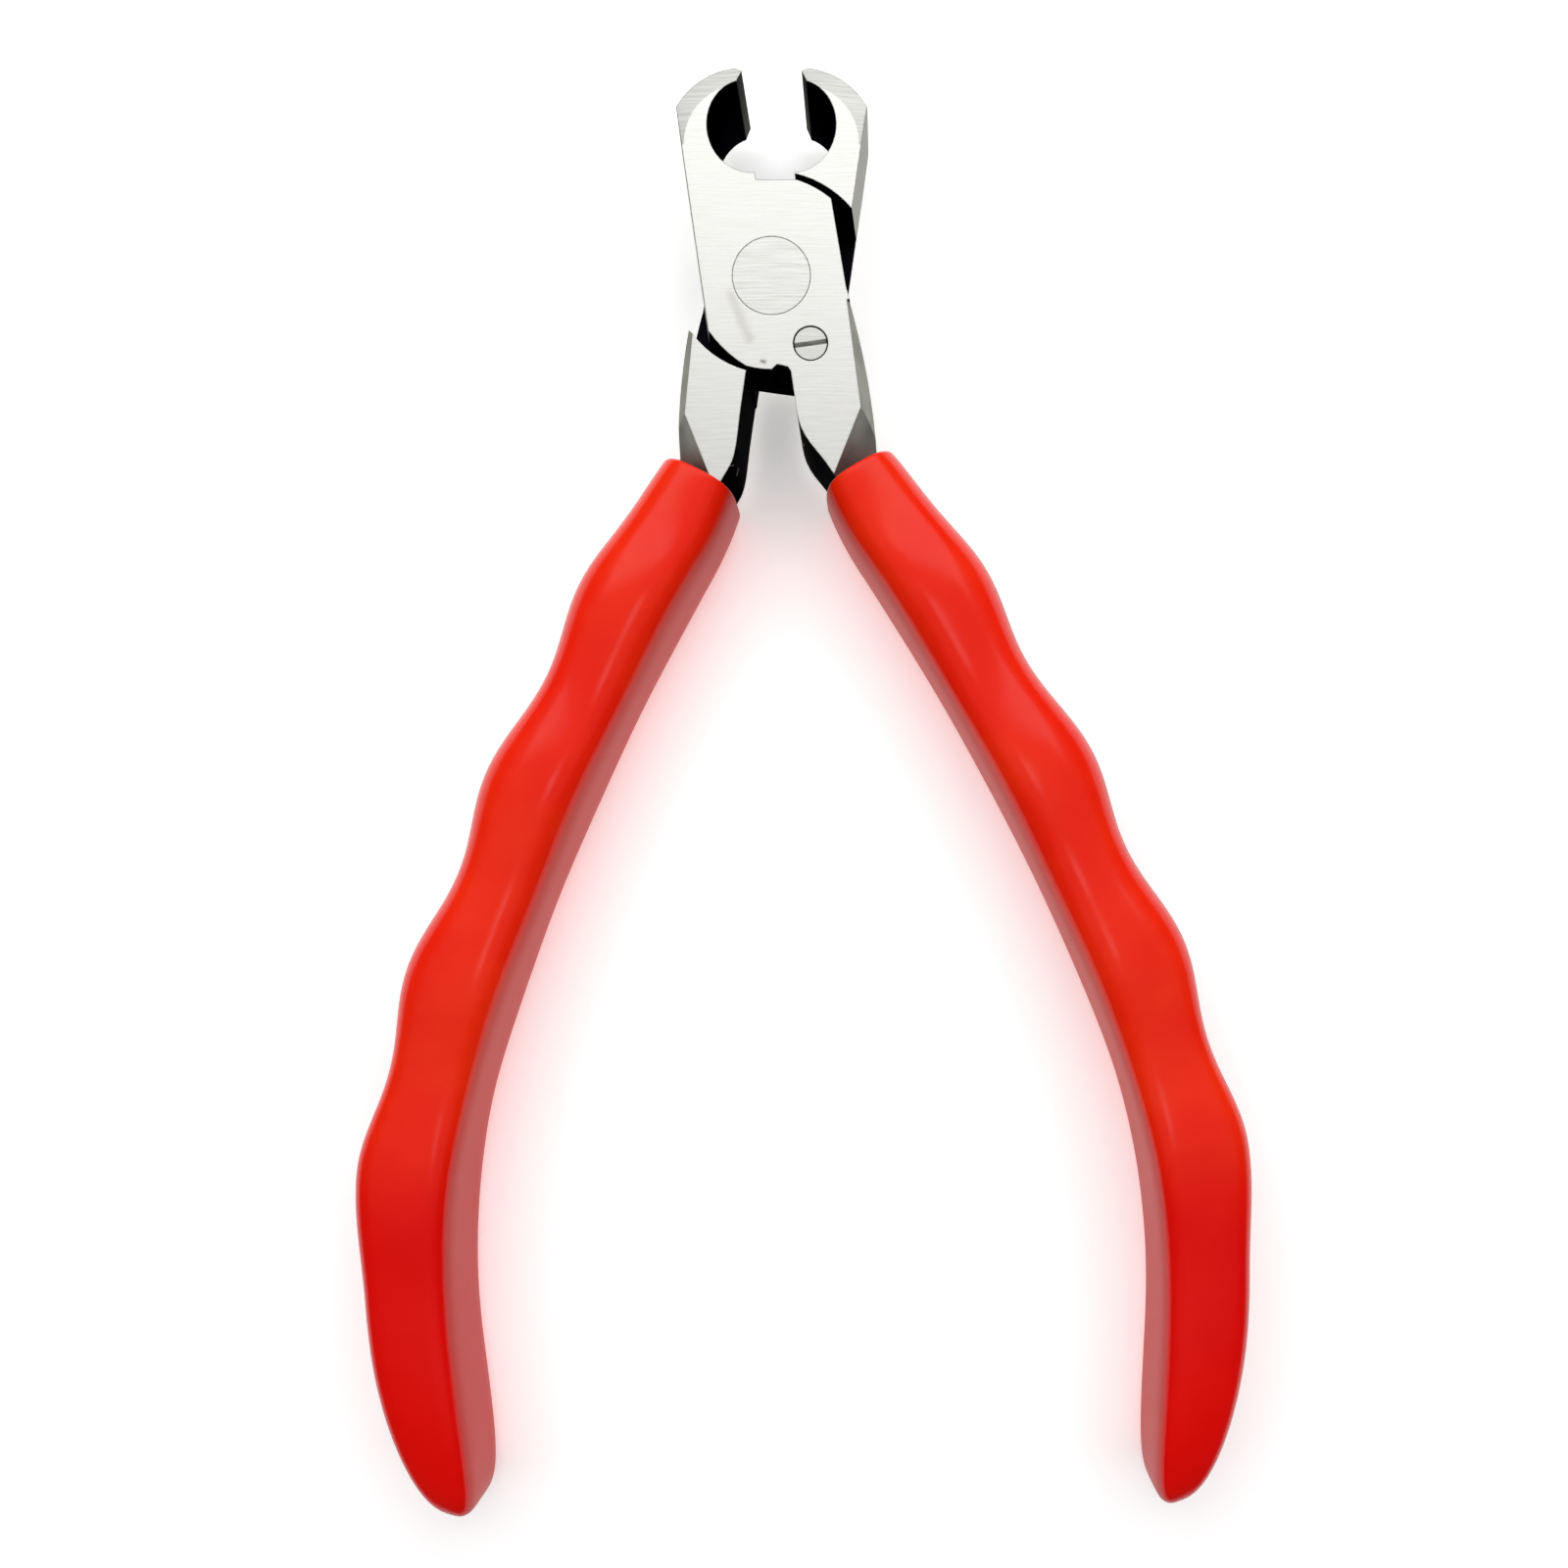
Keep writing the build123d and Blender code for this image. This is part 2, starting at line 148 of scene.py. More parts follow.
@dataclass(frozen=True)
class Brushing:
    """Fine grinding lines along X, a few millimetres long and a little wavy.

    They are drawn coarser than the real 0.05 mm ones, so that they show.
    """

    length: float = 5.0 * MM
    width: float = 0.15 * MM
    sway: float = 0.5 * MM
    detail: float = 5.0
    grain: float = 0.62
    faintest: float = 0.25
    strongest: float = 0.7
    height: float = 0.012 * MM
    relief: float = 0.15

    def lines(self, tree: Tree, place: Socket) -> Socket:
        """Stretches a noise along X.

        Args:
            tree: Node tree that gets the nodes.
            place: Position to read the lines at.

        Returns:
            Socket with the lines, spread over 0 to 1.
        """
        drift = add_node(tree, NOISE, {"Vector": place, "Scale": 1 / self.length, "Detail": 1.0})
        sway = add_node(tree, MATH, {0: drift.outputs[0], 1: self.sway}, operation="MULTIPLY")
        sway = add_node(tree, "ShaderNodeCombineXYZ", {1: sway.outputs[0]})
        swayed = add_node(tree, VECTOR_MATH, {0: place, 1: sway.outputs[0]}, operation="ADD")
        stretch = (1 / self.length, 1 / self.width, 1 / self.length)
        stretched = add_node(tree, "ShaderNodeMapping", {"Vector": swayed.outputs[0], "Scale": stretch})
        noise = {"Vector": stretched.outputs[0], "Scale": 1.0, "Detail": self.detail, "Roughness": self.grain}
        noise = add_node(tree, NOISE, noise).outputs[0]
        spread = {"Value": noise, "From Min": self.faintest, "From Max": self.strongest}
        return add_node(tree, STEP, spread, interpolation_type="SMOOTHSTEP").outputs[0]

    def raise_lines(self, tree: Tree, shader: bpy.types.Node, lines: Socket, edge: Socket) -> None:
        """Raises the lines a little on top of an edge-rounding normal.

        Args:
            tree: Node tree that gets the node.
            shader: Shader that takes the normal.
            lines: Height of the lines, from 0 to 1.
            edge: Normal that rounds the edges.
        """
        inputs = {"Height": lines, "Normal": edge, "Strength": self.relief, "Distance": self.height}
        tree.links.new(add_node(tree, "ShaderNodeBump", inputs).outputs[0], shader.inputs["Normal"])


@dataclass(frozen=True)
class Mark:
    """Soft uneven stain on a ground face, round a point or along a short line."""

    start: tuple[float, float, float]
    end: tuple[float, float, float]
    radius: float
    strength: float
    colour: str
    ragged_detail: float = 4.0
    clear_from: float = 1.5
    full_within: float = 0.4

    def mask(self, tree: Tree, place: Socket) -> Socket:
        """Finds the share of the stain at a place.

        Args:
            tree: Node tree that gets the nodes.
            place: Position to read the stain at.

        Returns:
            Socket with the share, from 0 to the stain's strength.
        """
        ragged = self.ragged_distance(tree, place)
        inside = {
            "Value": ragged,
            "From Min": self.clear_from * self.radius,
            "From Max": self.full_within * self.radius,
        }
        inside = add_node(tree, STEP, inside, interpolation_type="SMOOTHSTEP").outputs[0]
        return add_node(tree, MATH, {0: inside, 1: self.strength}, operation="MULTIPLY").outputs[0]

    def ragged_distance(self, tree: Tree, place: Socket) -> Socket:
        """Measures the distance from the stain's line, made uneven by a noise.

        Args:
            tree: Node tree that gets the nodes.
            place: Position to measure from.

        Returns:
            Socket with the distance in metres.
        """
        start, end = Vector(self.start), Vector(self.end)
        course = end - start
        from_start = add_node(tree, VECTOR_MATH, {0: place, 1: start}, operation="SUBTRACT").outputs[0]
        along = {0: from_start, 1: course / course.length_squared}
        along = add_node(tree, VECTOR_MATH, along, operation="DOT_PRODUCT").outputs["Value"]
        along = add_node(tree, "ShaderNodeClamp", {0: along, 1: 0.0, 2: 1.0}).outputs[0]
        nearest = add_node(tree, VECTOR_MATH, {0: course, 3: along}, operation="SCALE").outputs[0]
        distance = add_node(tree, VECTOR_MATH, {0: from_start, 1: nearest}, operation="DISTANCE")
        noise = {"Vector": place, "Scale": 1 / self.radius, "Detail": self.ragged_detail}
        noise = add_node(tree, NOISE, noise).outputs[0]
        ragged = {0: noise, 1: self.radius, 2: distance.outputs["Value"]}
        return add_node(tree, MATH, ragged, operation="MULTIPLY_ADD").outputs[0]


SMUDGE = Mark((-3.5 * MM, -1.7 * MM, 10 * MM), (-1.9 * MM, -5.4 * MM, 10 * MM), 0.8 * MM, 0.24, "#8C8672")
PUNCH = Mark((-0.85 * MM, -7.45 * MM, 10 * MM), (-0.6 * MM, -7.5 * MM, 10 * MM), 0.3 * MM, 0.75, "#6F6858")


@dataclass(frozen=True)
class GroundSteel:
    """Forged tool steel, blackened, then ground on its two flat faces.

    The ground faces are nearly white with fine lines along X, the crest's bevels and
    the jaw's flanks are plain grey, the tang's bevels are greenish grey and every
    wall and lap face stays black. Each pair of numbers is where a finish starts to
    show and where it covers fully; slopes are 0 on a wall and 1 on a flat face.
    """

    name: str
    brushing: Brushing
    ground: str = "#FFFFFC"
    ground_shade: str = "#E8E8E3"
    crest: str = "#EEEEEA"
    crest_shade: str = "#C4C5C0"
    flank: str = "#CDCEC7"
    bevel: str = "#AAABA2"
    bevel_light: str = "#BABBB2"
    oxide: str = "#15131A"
    # painted shade: dark line along the sharp edges
    edge_shade_line: str = "#3A3936"
    facet: str = "#6B6C68"
    rim_tint: str = "#6A6A6A"
    half_thickness: float = 5.0 * MM
    near_face: tuple[float, float] = (4.1 * MM, 4.3 * MM)
    top_face: tuple[float, float] = (9.0 * MM, 9.5 * MM)
    facet_reach: tuple[float, float] = (16.95 * MM, 17.05 * MM)
    flat_slope: tuple[float, float] = (0.985, 0.995)
    crest_slope: tuple[float, float] = (0.93, 0.945)
    bevel_slope: tuple[float, float] = (0.14, 0.17)
    flank_slope: tuple[float, float] = (0.03, 0.045)
    worn_share: tuple[float, float] = (0.35, 0.65)
    edge_turn: tuple[float, float] = (0.02, 0.2)
    edge_shade_share: float = 0.65
    edge_radius: float = 0.13 * MM
    edge_samples: int = 6
    worn_scale: float = 420.0
    worn_detail: float = 4.0
    roughness: float = 0.52
    crest_gloss: float = -0.14
    line_roughness: float = 0.08

    def build(self) -> bpy.types.Material:
        """Makes the material.

        Returns:
            The steel material, its finishes chosen by height and slope.
        """
        material, tree, shader = new_material(self.name)
        place = add_node(tree, "ShaderNodeTexCoord", {}).outputs["Object"]
        true_normal = add_node(tree, "ShaderNodeNewGeometry", {}).outputs["True Normal"]
        across = add_node(tree, SPLIT, {0: place})
        upright = add_node(tree, SPLIT, {0: true_normal}).outputs[2]
        slope = add_node(tree, MATH, {0: upright}, operation="ABSOLUTE").outputs[0]
        flat, shallow = self.face_masks(tree, across.outputs[2], slope)
        lines = self.brushing.lines(tree, place)
        colour = self.wall_colour(tree, across.outputs[1], slope)
        colour = self.bevelled(tree, place, slope, colour)
        colour = self.brushed(tree, lines, shallow, colour, (self.crest_shade, self.crest))
        colour = self.brushed(tree, lines, flat, colour, (self.ground_shade, self.ground))
        colour = self.stained(tree, place, across.outputs[2], flat, colour)
        edge = {"Radius": self.edge_radius}
        edge = add_node(tree, "ShaderNodeBevel", edge, samples=self.edge_samples).outputs[0]
        # painted shade: darkens the sharp edges
        colour = self.paint_edge_shade(tree, edge, true_normal, colour)
        tree.links.new(colour, shader.inputs["Base Color"])
        shader.inputs["Metallic"].default_value = 1.0
        shader.inputs["Specular Tint"].default_value = linear(self.rim_tint)
        rough = {0: shallow, 1: self.crest_gloss, 2: self.roughness}
        rough = add_node(tree, MATH, rough, operation="MULTIPLY_ADD").outputs[0]
        rough = {0: lines, 1: self.line_roughness, 2: rough}
        rough = add_node(tree, MATH, rough, operation="MULTIPLY_ADD").outputs[0]
        tree.links.new(rough, shader.inputs["Roughness"])
        raised = add_node(tree, MATH, {0: lines, 1: shallow}, operation="MULTIPLY").outputs[0]
        self.brushing.raise_lines(tree, shader, raised, edge)
        return material

    def face_masks(self, tree: Tree, height: Socket, slope: Socket) -> tuple[Socket, Socket]:
        """Finds where the ground faces and the crest's bevels are.

        Args:
            tree: Node tree that gets the nodes.
            height: Height in metres.
            slope: Slope of the surface.

        Returns:
            Share of the flat faces, and share of the flat and shallow ones.
        """
        from_middle = {0: height, 1: self.half_thickness}
        from_middle = add_node(tree, MATH, from_middle, operation="SUBTRACT").outputs[0]
        from_middle = add_node(tree, MATH, {0: from_middle}, operation="ABSOLUTE").outputs[0]
        near = {0: from_middle, 1: self.near_face[0], 2: self.near_face[1]}
        near = add_node(tree, STEP, near, interpolation_type="SMOOTHSTEP").outputs[0]
        masks = []
        for low, high in (self.flat_slope, self.crest_slope):
            mask = {0: slope, 1: low, 2: high}
            mask = add_node(tree, STEP, mask, interpolation_type="SMOOTHSTEP").outputs[0]
            masks.append(add_node(tree, MATH, {0: mask, 1: near}, operation="MULTIPLY").outputs[0])
        return masks[0], masks[1]

    def wall_colour(self, tree: Tree, reach: Socket, slope: Socket) -> Socket:
        """Black on upright walls, grey on the drafted flanks and on the edges' facets.

        Args:
            tree: Node tree that gets the nodes.
            reach: Distance from the pivot along Y in metres.
            slope: Slope of the surface.

        Returns:
            Socket with the colour.
        """
        drafted = {0: slope, 1: self.flank_slope[0], 2: self.flank_slope[1]}
        drafted = add_node(tree, STEP, drafted, interpolation_type="SMOOTHSTEP").outputs[0]
        colour = {"Factor": drafted, FIRST: linear(self.oxide), SECOND: linear(self.flank)}
        colour = add_node(tree, BLEND, colour, data_type="RGBA").outputs[BLENDED]
        at_edge = {0: reach, 1: self.facet_reach[0], 2: self.facet_reach[1]}
        at_edge = add_node(tree, STEP, at_edge, interpolation_type="SMOOTHSTEP").outputs[0]
        colour = {"Factor": at_edge, FIRST: colour, SECOND: linear(self.facet)}
        return add_node(tree, BLEND, colour, data_type="RGBA").outputs[BLENDED]

    def bevelled(self, tree: Tree, place: Socket, slope: Socket, colour: Socket) -> Socket:
        """Lays drifting greenish grey on the bevels and black on the lap faces.

        Args:
            tree: Node tree that gets the nodes.
            place: Position to read the drift at.
            slope: Slope of the surface.
            colour: Colour so far.

        Returns:
            Socket with the new colour.
        """
        worn = {"Vector": place, "Scale": self.worn_scale, "Detail": self.worn_detail}
        worn = add_node(tree, NOISE, worn).outputs[0]
        worn = {0: worn, 1: self.worn_share[0], 2: self.worn_share[1]}
        worn = add_node(tree, STEP, worn, interpolation_type="SMOOTHSTEP").outputs[0]
        worn = {"Factor": worn, FIRST: linear(self.bevel), SECOND: linear(self.bevel_light)}
        worn = add_node(tree, BLEND, worn, data_type="RGBA").outputs[BLENDED]
        for (low, high), finish in ((self.bevel_slope, worn), (self.flat_slope, linear(self.oxide))):
            mask = {0: slope, 1: low, 2: high}
            mask = add_node(tree, STEP, mask, interpolation_type="SMOOTHSTEP").outputs[0]
            colour = {"Factor": mask, FIRST: colour, SECOND: finish}
            colour = add_node(tree, BLEND, colour, data_type="RGBA").outputs[BLENDED]
        return colour

    def brushed(self, tree: Tree, lines: Socket, mask: Socket, colour: Socket, pair: tuple) -> Socket:
        """Lays a lined finish over a mask.

        Args:
            tree: Node tree that gets the nodes.
            lines: Grinding lines, from 0 to 1.
            mask: Share of the surface that gets the finish.
            colour: Colour so far.
            pair: Hex colours in and between the lines.

        Returns:
            Socket with the new colour.
        """
        finish = {"Factor": lines, FIRST: linear(pair[0]), SECOND: linear(pair[1])}
        finish = add_node(tree, BLEND, finish, data_type="RGBA").outputs[BLENDED]
        colour = {"Factor": mask, FIRST: colour, SECOND: finish}
        return add_node(tree, BLEND, colour, data_type="RGBA").outputs[BLENDED]

    def stained(self, tree: Tree, place: Socket, height: Socket, flat: Socket, colour: Socket) -> Socket:
        """Lays the smudge and the punch mark on the upper ground face.

        Args:
            tree: Node tree that gets the nodes.
            place: Position to read the marks at.
            height: Height in metres.
            flat: Share of the flat faces.
            colour: Colour so far.

        Returns:
            Socket with the new colour.
        """
        upper = {0: height, 1: self.top_face[0], 2: self.top_face[1]}
        upper = add_node(tree, STEP, upper, interpolation_type="SMOOTHSTEP").outputs[0]
        upper = add_node(tree, MATH, {0: flat, 1: upper}, operation="MULTIPLY").outputs[0]
        for mark in (SMUDGE, PUNCH):
            share = {0: mark.mask(tree, place), 1: upper}
            share = add_node(tree, MATH, share, operation="MULTIPLY").outputs[0]
            colour = {"Factor": share, FIRST: colour, SECOND: linear(mark.colour)}
            colour = add_node(tree, BLEND, colour, data_type="RGBA").outputs[BLENDED]
        return colour

    def paint_edge_shade(self, tree: Tree, edge: Socket, true_normal: Socket, colour: Socket) -> Socket:
        """Paints shade along the sharp edges, where the rounded normal leaves the true one: a dark line
        standing in for the shade seen there.

        Args:
            tree: Node tree that gets the nodes.
            edge: Normal that rounds the edges.
            true_normal: Normal of the face itself.
            colour: Colour so far.

        Returns:
            Socket with the new colour.
        """
        facing = {0: edge, 1: true_normal}
        facing = add_node(tree, VECTOR_MATH, facing, operation="DOT_PRODUCT").outputs["Value"]
        turned = add_node(tree, MATH, {0: 1.0, 1: facing}, operation="SUBTRACT").outputs[0]
        turned = {0: turned, 1: self.edge_turn[0], 2: self.edge_turn[1]}
        turned = add_node(tree, STEP, turned, interpolation_type="SMOOTHSTEP").outputs[0]
        shaded_edge = add_node(tree, MATH, {0: turned, 1: self.edge_shade_share}, operation="MULTIPLY").outputs[0]
        colour = {"Factor": shaded_edge, FIRST: colour, SECOND: linear(self.edge_shade_line)}
        return add_node(tree, BLEND, colour, data_type="RGBA").outputs[BLENDED]


@dataclass(frozen=True)
class TurnedSteel:
    """Small turned steel piece, ground or drawn, bright with fine lines like its lever's."""

    name: str
    brushing: Brushing
    bright: str = "#FFFFFC"
    dull: str = "#D5D5D0"
    roughness: float = 0.38
    line_roughness: float = 0.08
    edge_radius: float = 0.06 * MM
    edge_samples: int = 6

    def build(self) -> bpy.types.Material:
        """Makes the material.

        Returns:
            The steel material.
        """
        material, tree, shader = new_material(self.name)
        place = add_node(tree, "ShaderNodeTexCoord", {}).outputs["Object"]
        lines = self.brushing.lines(tree, place)
        colour = {"Factor": lines, FIRST: linear(self.dull), SECOND: linear(self.bright)}
        colour = add_node(tree, BLEND, colour, data_type="RGBA").outputs[BLENDED]
        tree.links.new(colour, shader.inputs["Base Color"])
        shader.inputs["Metallic"].default_value = 1.0
        rough = {0: lines, 1: self.line_roughness, 2: self.roughness}
        rough = add_node(tree, MATH, rough, operation="MULTIPLY_ADD").outputs[0]
        tree.links.new(rough, shader.inputs["Roughness"])
        edge = {"Radius": self.edge_radius}
        edge = add_node(tree, "ShaderNodeBevel", edge, samples=self.edge_samples).outputs[0]
        self.brushing.raise_lines(tree, shader, lines, edge)
        return material


@dataclass(frozen=True)
class DippedVinyl:
    """Soft red PVC, moulded glossy: orange red near the head, with painted shade of deeper red towards the
    tip.

    A faint skin texture breaks the gloss, the colour drifts over a few millimetres
    and the upright sides are rougher than the faces, with a darker, duller red laid on them as painted shade.
    """

    name: str = "moulded_glossy_red_vinyl"
    colour: str = "#F72B07"
    worn: str = "#F21E05"
    # painted shade: the deeper reds below stand in for the light falling off towards the tip
    painted_shade_red: str = "#EB0A02"
    painted_shade_worn: str = "#E60602"
    # painted shade: darker, duller red for the upright sides
    dull: str = "#B4281A"
    painted_shade_span: tuple[float, float] = (-84.0 * MM, -70.0 * MM)
    side_slope: tuple[float, float] = (0.6, 0.2)
    patch_share: tuple[float, float] = (0.35, 0.65)
    side_shade_share: float = 0.6
    roughness: float = 0.17
    side_roughness: float = 0.22
    drift_roughness: float = 0.06
    ior: float = 1.5
    specular: float = 0.28
    drift_scale: float = 90.0
    drift_detail: float = 3.0
    skin_size: float = 0.35 * MM
    skin_detail: float = 3.0
    skin_relief: float = 0.1
    skin_height: float = 0.02 * MM

    def build(self) -> bpy.types.Material:
        """Makes the material.

        Returns:
            The vinyl material.
        """
        material, tree, shader = new_material(self.name)
        place = add_node(tree, "ShaderNodeTexCoord", {}).outputs["Object"]
        drift = {"Vector": place, "Scale": self.drift_scale, "Detail": self.drift_detail}
        drift = add_node(tree, NOISE, drift).outputs[0]
        side = self.side_mask(tree)
        # painted shade: the upright sides are blended towards the darker red
        share = add_node(tree, MATH, {0: side, 1: self.side_shade_share}, operation="MULTIPLY").outputs[0]
        colour = {"Factor": share, FIRST: self.face_colour(tree, place, drift), SECOND: linear(self.dull)}
        colour = add_node(tree, BLEND, colour, data_type="RGBA").outputs[BLENDED]
        tree.links.new(colour, shader.inputs["Base Color"])
        rough = {0: side, 1: self.side_roughness, 2: self.roughness}
        rough = add_node(tree, MATH, rough, operation="MULTIPLY_ADD").outputs[0]
        rough = {0: drift, 1: self.drift_roughness, 2: rough}
        rough = add_node(tree, MATH, rough, operation="MULTIPLY_ADD").outputs[0]
        tree.links.new(rough, shader.inputs["Roughness"])
        shader.inputs["IOR"].default_value = self.ior
        shader.inputs["Specular IOR Level"].default_value = self.specular
        skin = {"Vector": place, "Scale": 1 / self.skin_size, "Detail": self.skin_detail}
        skin = add_node(tree, NOISE, skin).outputs[0]
        skin = {"Height": skin, "Strength": self.skin_relief, "Distance": self.skin_height}
        tree.links.new(add_node(tree, "ShaderNodeBump", skin).outputs[0], shader.inputs["Normal"])
        return material

    def face_colour(self, tree: Tree, place: Socket, drift: Socket) -> Socket:
        """Orange red near the head and painted shade of deeper red towards the tip, in soft patches.

        Args:
            tree: Node tree that gets the nodes.
            place: Position on the grip.
            drift: Noise that makes the patches.

        Returns:
            Socket with the colour.
        """
        patch = {0: drift, 1: self.patch_share[0], 2: self.patch_share[1]}
        patch = add_node(tree, STEP, patch, interpolation_type="SMOOTHSTEP").outputs[0]
        along = add_node(tree, SPLIT, {0: place}).outputs[1]
        # painted shade: the red deepens towards the tip, where less light falls
        painted_falloff = {0: along, 1: self.painted_shade_span[0], 2: self.painted_shade_span[1]}
        painted_falloff = add_node(tree, STEP, painted_falloff, interpolation_type="SMOOTHSTEP").outputs[0]
        reds = []
        for worn, fresh in ((self.painted_shade_worn, self.painted_shade_red), (self.worn, self.colour)):
            red = {"Factor": patch, FIRST: linear(worn), SECOND: linear(fresh)}
            reds.append(add_node(tree, BLEND, red, data_type="RGBA").outputs[BLENDED])
        colour = {"Factor": painted_falloff, FIRST: reds[0], SECOND: reds[1]}
        return add_node(tree, BLEND, colour, data_type="RGBA").outputs[BLENDED]

    def side_mask(self, tree: Tree) -> Socket:
        """Finds how far the surface has turned from the faces to the sides.

        Args:
            tree: Node tree that gets the nodes.

        Returns:
            Socket with 0 on the faces and 1 on the upright sides.
        """
        normal = add_node(tree, "ShaderNodeNewGeometry", {}).outputs["Normal"]
        upright = add_node(tree, SPLIT, {0: normal}).outputs[2]
        slope = add_node(tree, MATH, {0: upright}, operation="ABSOLUTE").outputs[0]
        side = {0: slope, 1: self.side_slope[0], 2: self.side_slope[1]}
        return add_node(tree, STEP, side, interpolation_type="SMOOTHSTEP").outputs[0]


@dataclass(frozen=True)
class PaleSurface:
    """Bright white studio sweep, matt and even, with a slight glow that keeps it white."""

    name: str = "white_studio_sweep"
    colour: str = "#FFFFFF"
    roughness: float = 0.9
    glow: float = 0.3

    def build(self) -> bpy.types.Material:
        """Makes the material.

        Returns:
            The floor material.
        """
        material, _, shader = new_material(self.name)
        shader.inputs["Base Color"].default_value = linear(self.colour)
        shader.inputs["Roughness"].default_value = self.roughness
        shader.inputs["Emission Color"].default_value = linear(self.colour)
        shader.inputs["Emission Strength"].default_value = self.glow
        return material


@dataclass
class GripSleeve:
    """One moulded grip: a bowed sleeve with four finger bumps and a rounded tip.

    Lengths along the handle are measured from the pivot. A section is a rounded
    rectangle: the higher its power, the squarer it is.
    """

    node: str
    body: str
    side: Side
    heading: float
    middle_height: float = 5.0 * MM
    mouth: float = 18.0 * MM
    mouth_tilt: float = math.radians(13.0)
    tip: float = 113.0 * MM
    tip_start: float = 99.0 * MM
    half_width: float = 4.4 * MM
    mouth_half_width: float = 3.4 * MM
    mouth_length: float = 8.0 * MM
    half_height: float = 6.5 * MM
    wall: float = 1.1 * MM
    mouth_depth: float = 2.5 * MM
    mouth_flare: float = 0.2 * MM
    flare_depth: float = 0.3 * MM
    lip: float = 0.35 * MM
    lip_steps: int = 6
    skin_start: float = 0.8 * MM
    pitch: float = 18.4 * MM
    first_bump: float = 29.3 * MM
    last_bump: float = 84.5 * MM
    last_fade: float = 11.0 * MM
    last_valley: float = -0.3
    inner_trim: float = 0.4 * MM
    bump: float = 0.6 * MM
    dome: float = 0.27 * MM
    ridge: float = 0.3
    crown: float = 0.16
    square_from: float = 60.0 * MM
    square_to: float = 85.0 * MM
    inner_power: float = 3.6
    inner_power_gain: float = 1.9
    outer_power: float = 3.2
    outer_power_gain: float = 2.3
    tip_power: float = 2.1
    tip_flatness: float = 0.4
    tip_bluntness: float = 0.66
    tip_step_degrees: int = 2
    crest: float = 12.1 * MM
    crest_at: float = 75.0 * MM
    rise: float = 10.0 * MM
    rise_length: float = 57.0 * MM
    rise_power: float = 1.7
    fall: float = 12.0 * MM
    fall_length: float = 39.0 * MM
    segments: int = 72
    rings_along: int = 150

    def bow(self, along: float) -> float:
        """Finds how far the sleeve's middle line bows outward.

        Args:
            along: Distance from the pivot along the handle.

        Returns:
            Outward offset in metres.
        """
        if along < self.crest_at:
            return self.crest - self.rise * ((self.crest_at - along) / self.rise_length) ** self.rise_power
        return self.crest - self.fall * ((along - self.crest_at) / self.fall_length) ** 2

    def wave(self, along: float) -> float:
        """Finger bumps, fading in at the mouth and settling low after the last one.

        Args:
            along: Distance from the pivot along the handle.

        Returns:
            1 on a bump and -1 between two bumps.
        """
        if along > self.last_bump:
            past = min(1.0, (along - self.last_bump) / self.last_fade)
            share = (1 + math.cos(math.pi * past)) / 2
            return self.last_valley + (1 - self.last_valley) * share
        fade = min(1.0, max(0.0, (along - self.mouth) / self.mouth_length))
        return fade * math.cos(2 * math.pi * (along - self.first_bump) / self.pitch)

    def half_width_at(self, along: float) -> float:
        """Finds the half width before the bumps, narrower near the mouth.

        Args:
            along: Distance from the pivot along the handle.

        Returns:
            Half width in metres.
        """
        share = max(0.0, (self.mouth + self.mouth_length - along) / self.mouth_length)
        return self.half_width - (self.half_width - self.mouth_half_width) * share ** 2

    def ring(self, along: float, inset: float, taper: float = 1.0) -> list[Vector]:
        """Draws a closed ring of points round the sleeve.

        Args:
            along: Distance from the pivot along the handle.
            inset: Distance by which the ring is drawn in from the sleeve's skin.
            taper: Share of the full size, less than 1 near the tip.

        Returns:
            The ring's points in the row frame.
        """
        wave = self.wave(along)
        half = self.half_width_at(along)
        squareness = min(1.0, max(0.0, (along - self.square_from) / (self.square_to - self.square_from)))
        outer = (half + self.bump * wave) * taper - inset
        inner = (half - self.inner_trim * squareness) * taper - inset
        tall = (self.half_height - self.dome * (1 - wave)) * taper ** self.tip_flatness - inset
        inner_power = self.inner_power + self.inner_power_gain * squareness
        outer_power = self.outer_power + self.outer_power_gain * squareness
        near_tip = (1 - taper) ** 2
        tilt = self.mouth_tilt * max(0.0, 1 - (along - self.mouth) / self.mouth_length)
        points = []
        for index in range(self.segments):
            turn = 2 * math.pi * index / self.segments
            cosine, sine = math.cos(turn), math.sin(turn)
            power = outer_power if cosine > 0 else inner_power
            power += (self.tip_power - power) * near_tip
            reach = outer if cosine > 0 else inner
            aside = math.copysign(abs(cosine) ** (2 / power), cosine) * reach
            rise = math.copysign(abs(sine) ** (2 / power), sine) * tall
            rise *= 1 - self.crown * ((aside + inner) / (outer + inner) - self.ridge) ** 2
            points.append(self.place(along - aside * math.tan(tilt), self.bow(along) + aside, rise))
        return points

    def place(self, along: float, outward: float, rise: float) -> Vector:
        """Turns a point of the handle's own frame into one of the row frame.

        Args:
            along: Distance from the pivot along the handle.
            outward: Distance from the handle's line, away from the other handle.
            rise: Height above the sleeve's middle.

        Returns:
            The point in the row frame.
        """
        x = outward * math.cos(self.heading) + along * math.sin(self.heading)
        y = outward * math.sin(self.heading) - along * math.cos(self.heading)
        return Vector((self.side.value * x, y, self.middle_height + rise))

    def mouth_rings(self) -> list[list[Vector]]:
        """Draws the rings from inside the mouth, over its rolled lip, to the skin.

        Returns:
            The rings in order.
        """
        rings = [
            self.ring(self.mouth + self.mouth_depth, self.wall),
            self.ring(self.mouth + self.flare_depth, self.wall),
            self.ring(self.mouth, self.wall - self.mouth_flare),
        ]
        for step in range(self.lip_steps + 1):
            turn = math.pi / 2 * step / self.lip_steps
            along = self.mouth + self.lip * (1 - math.cos(turn))
            rings.append(self.ring(along, self.lip * (1 - math.sin(turn))))
        return rings

